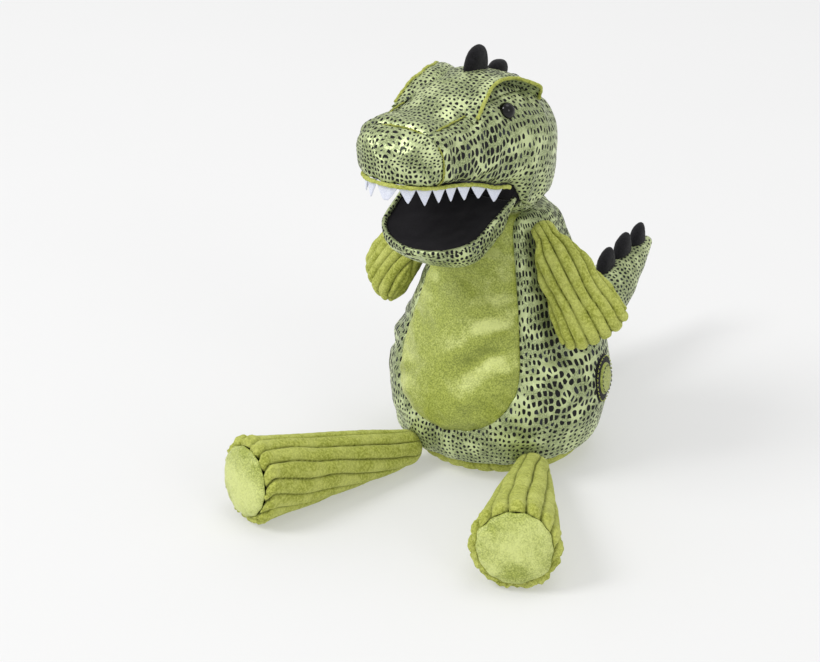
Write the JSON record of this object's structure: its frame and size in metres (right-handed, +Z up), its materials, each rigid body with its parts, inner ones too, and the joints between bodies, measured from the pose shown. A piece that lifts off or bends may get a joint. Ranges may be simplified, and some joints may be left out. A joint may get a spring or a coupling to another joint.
{
  "type": "plush dinosaur",
  "caption": "Seated plush dinosaur with an open toothed mouth, scale-print fabric, ribbed arms and legs, felt spikes and a zipped back pocket",
  "frame": {"origin": "centre of the flat base of the body, on the floor", "axes": "+Z up, the dinosaur faces -Y, +X is its own left side"},
  "size_m": [0.2593, 0.4565, 0.3226],
  "materials": {
    "scale_print": "satin",
    "lime_velour": "satin",
    "lime_corduroy": "matte",
    "black_felt": "matte",
    "mouth_lining": "matte",
    "white_felt": "matte",
    "stuffing": "matte",
    "bead_cloth": "matte",
    "eye_gloss": "gloss",
    "washer_plastic": "matte",
    "grey_thread": "matte",
    "label_tape": "satin",
    "zip_tape": "matte",
    "zip_plastic": "matte",
    "zip_metal": "satin"
  },
  "bodies": {
    "body": {"body_side_left": "scale_print", "body_side_right": "scale_print", "belly_panel": "lime_velour", "base_panel": "lime_corduroy", "body_stuffing": "stuffing", "bean_bag": "bead_cloth", "hip_patch": "black_felt", "care_label": "label_tape", "pocket_pouch": "zip_tape", "zip_tape_left": "zip_tape", "zip_tape_right": "zip_tape", "zip_teeth": "zip_plastic"},
    "slider": {"zip_slider": "zip_metal"},
    "pull_tab": {"zip_pull": "zip_metal"},
    "neck": {"neck_ball": "stuffing"},
    "head": {"nose_panel": "scale_print", "crown_panel": "scale_print", "cheek_left": "scale_print", "cheek_right": "scale_print", "head_base": "scale_print", "palate_lining": "mouth_lining", "head_stuffing": "stuffing", "lip_trim": "lime_corduroy", "upper_teeth": "white_felt", "brow_left": "scale_print", "brow_right": "scale_print", "eye_left": "eye_gloss", "eye_right": "eye_gloss", "washer_left": "washer_plastic", "washer_right": "washer_plastic", "nostril_left": "grey_thread", "nostril_right": "grey_thread", "crown_spikes": "black_felt"},
    "jaw": {"jaw_skin": "scale_print", "jaw_lining": "mouth_lining", "jaw_stuffing": "stuffing"},
    "left_arm": {"arm_left": "lime_corduroy", "arm_stuffing_left": "stuffing"},
    "right_arm": {"arm_right": "lime_corduroy", "arm_stuffing_right": "stuffing"},
    "left_leg": {"leg_left": "lime_corduroy", "leg_stuffing_left": "stuffing", "sole_left": "lime_velour"},
    "right_leg": {"leg_right": "lime_corduroy", "leg_stuffing_right": "stuffing", "sole_right": "lime_velour"},
    "tail": {"tail_left": "scale_print", "tail_right": "scale_print", "tail_stuffing": "stuffing", "tail_spikes": "black_felt"}
  },
  "joints": [
    {"name": "neck_turn", "type": "hinge", "parent": "body", "child": "neck", "pos_m": [0, 0, 0.197], "axis": [0, 0, 1], "range_deg": [-30, 30], "stiffness_Nm_per_rad": 0.6},
    {"name": "head_nod", "type": "hinge", "parent": "neck", "child": "head", "pos_m": [0, 0, 0.197], "axis": [1, 0, 0], "range_deg": [-8, 9], "stiffness_Nm_per_rad": 2},
    {"name": "jaw_bend", "type": "hinge", "parent": "head", "child": "jaw", "pos_m": [0, -0.05, 0.225], "axis": [1, 0, 0], "range_deg": [-24, 6], "stiffness_Nm_per_rad": 0.4},
    {"name": "left_arm_raise", "type": "hinge", "parent": "body", "child": "left_arm", "pos_m": [0.048, -0.02, 0.185], "axis": [0, -1, 0], "range_deg": [-2, 60], "stiffness_Nm_per_rad": 0.4},
    {"name": "right_arm_raise", "type": "hinge", "parent": "body", "child": "right_arm", "pos_m": [-0.048, -0.02, 0.185], "axis": [0, 1, 0], "range_deg": [-2, 60], "stiffness_Nm_per_rad": 0.4},
    {"name": "left_leg_lift", "type": "hinge", "parent": "body", "child": "left_leg", "pos_m": [0.06317, -0.05688, 0.016], "axis": [-0.8988, -0.4384, 0], "range_deg": [0, 45], "stiffness_Nm_per_rad": 0.8},
    {"name": "right_leg_lift", "type": "hinge", "parent": "body", "child": "right_leg", "pos_m": [-0.03457, -0.07765, 0.016], "axis": [-0.9397, 0.342, 0], "range_deg": [0, 45], "stiffness_Nm_per_rad": 0.8},
    {"name": "tail_wag", "type": "hinge", "parent": "body", "child": "tail", "pos_m": [0, 0.1056, 0.046], "axis": [0, 0, 1], "range_deg": [-25, 25], "stiffness_Nm_per_rad": 0.4},
    {"name": "zip_slide", "type": "slide", "parent": "body", "child": "slider", "axis": [0, -0.3457, 0.9383], "range_m": [-0.06, 0]},
    {"name": "pull_swing", "type": "hinge", "parent": "slider", "child": "pull_tab", "pos_m": [0, 0.0561, 0.16123], "axis": [1, 0, 0], "range_deg": [0, 140]}
  ]
}
